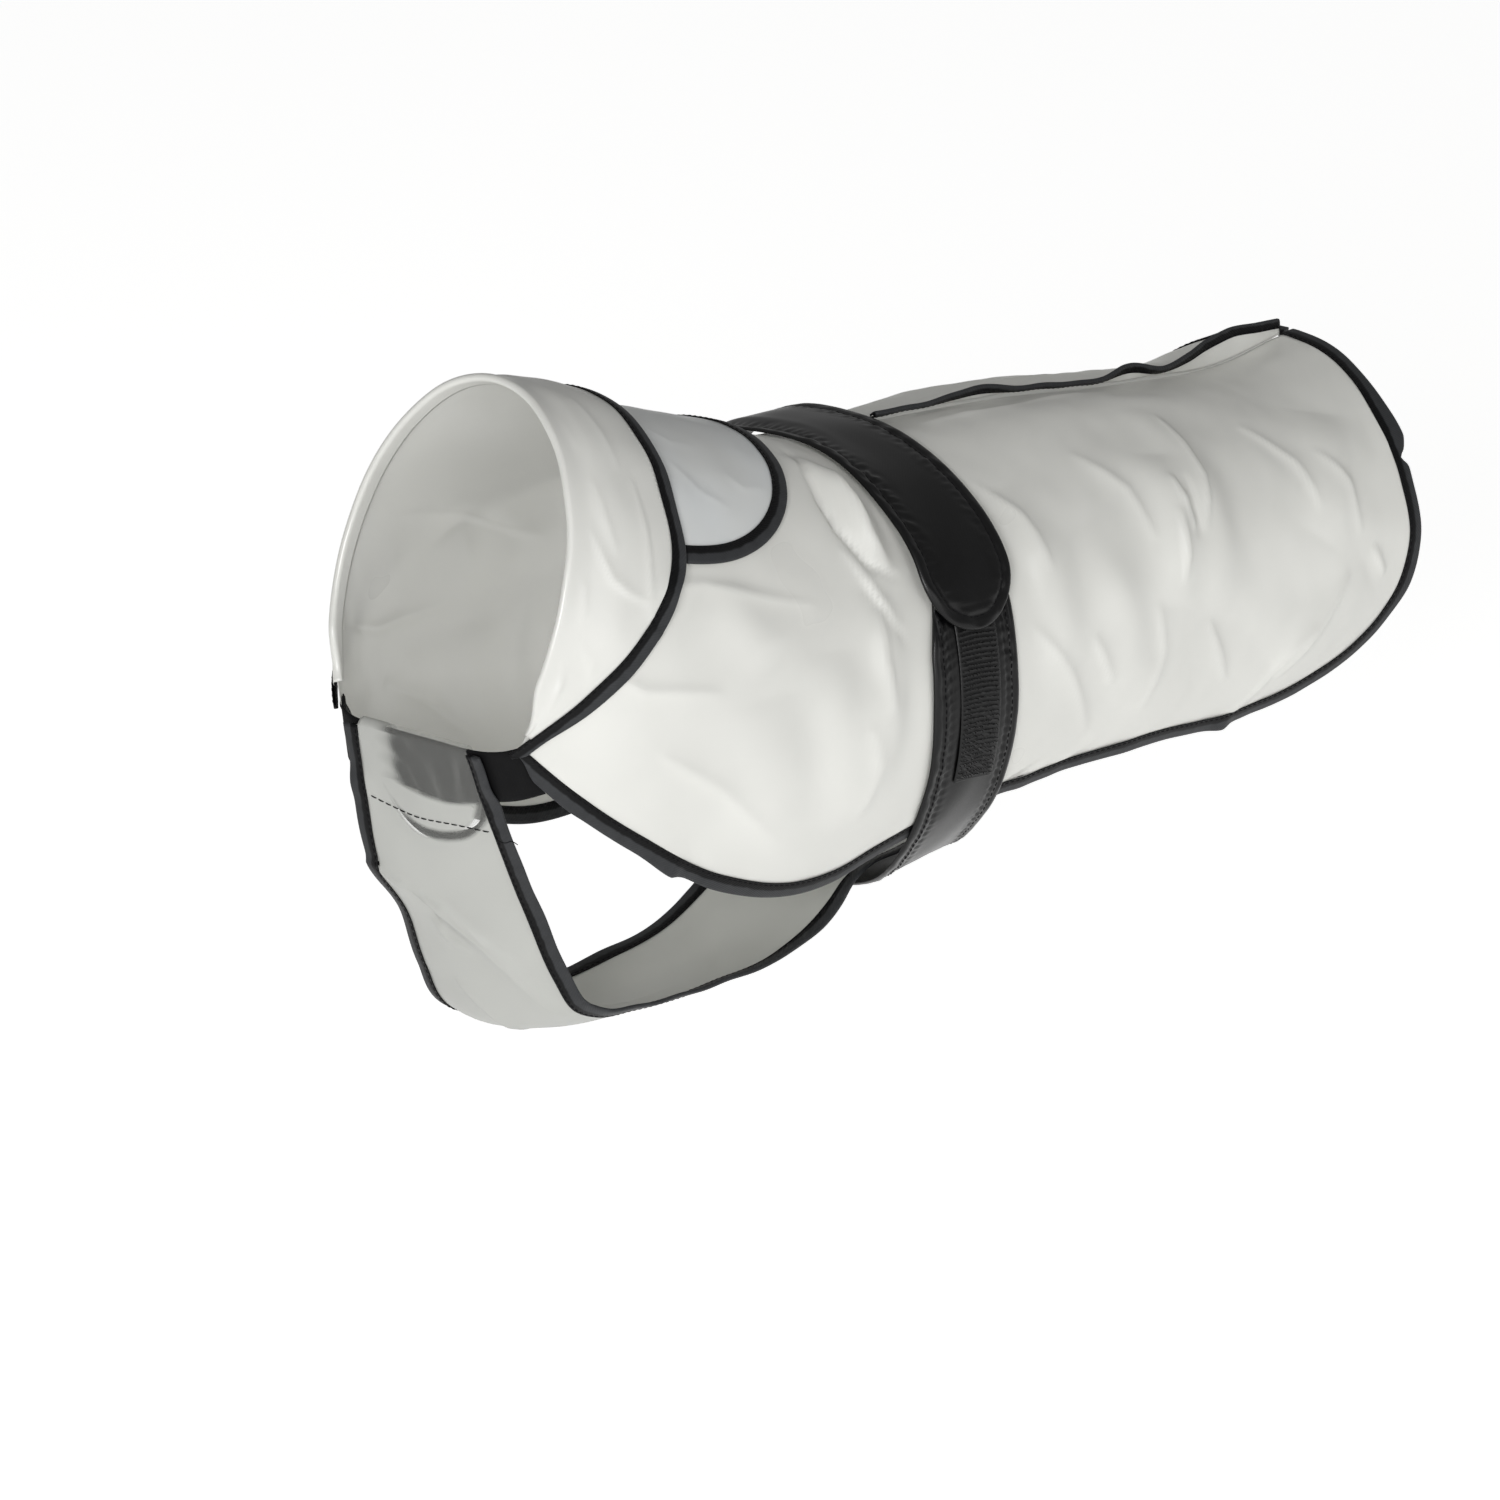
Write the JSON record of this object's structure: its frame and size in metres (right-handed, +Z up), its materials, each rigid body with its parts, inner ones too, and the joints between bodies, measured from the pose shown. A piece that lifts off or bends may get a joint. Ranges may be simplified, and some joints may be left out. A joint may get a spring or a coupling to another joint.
{
  "type": "dog raincoat",
  "caption": "Hollow see-through dog raincoat in its worn shape, with taped edges, turned-down collar, cape flap, chest strip and hook belt.",
  "frame": {"origin": "on the inside of the back, on the back seam's line under the middle of the belt, where the wearer's back holds the coat up", "axes": "+X from the neck to the tail, -Y to the wearer's left side, +Z up"},
  "size_m": [0.5544, 0.2017, 0.2929],
  "materials": {
    "frosted_film": "frosted translucent film, satin",
    "black_tape": "woven binding tape, soft satin",
    "black_strap": "satin-woven strap with bound edges",
    "black_hook": "hook pile on woven tape, matt",
    "black_elastic": "ribbed elastic, matt"
  },
  "bodies": {
    "root": {"coat_left": "frosted_film", "coat_right": "frosted_film", "seam_allowance": "frosted_film", "collar": "frosted_film", "flap": "frosted_film", "chest_strip": "frosted_film", "hem_tape_left": "black_tape", "hem_tape_right": "black_tape", "seam_tape": "black_tape", "collar_tape": "black_tape", "flap_tape": "black_tape", "strip_tape_left": "black_tape", "strip_tape_right": "black_tape", "casing_tape": "black_tape", "belt": "black_strap", "hook_tape": "black_hook", "chest_elastic": "black_elastic"}
  },
  "joints": []
}
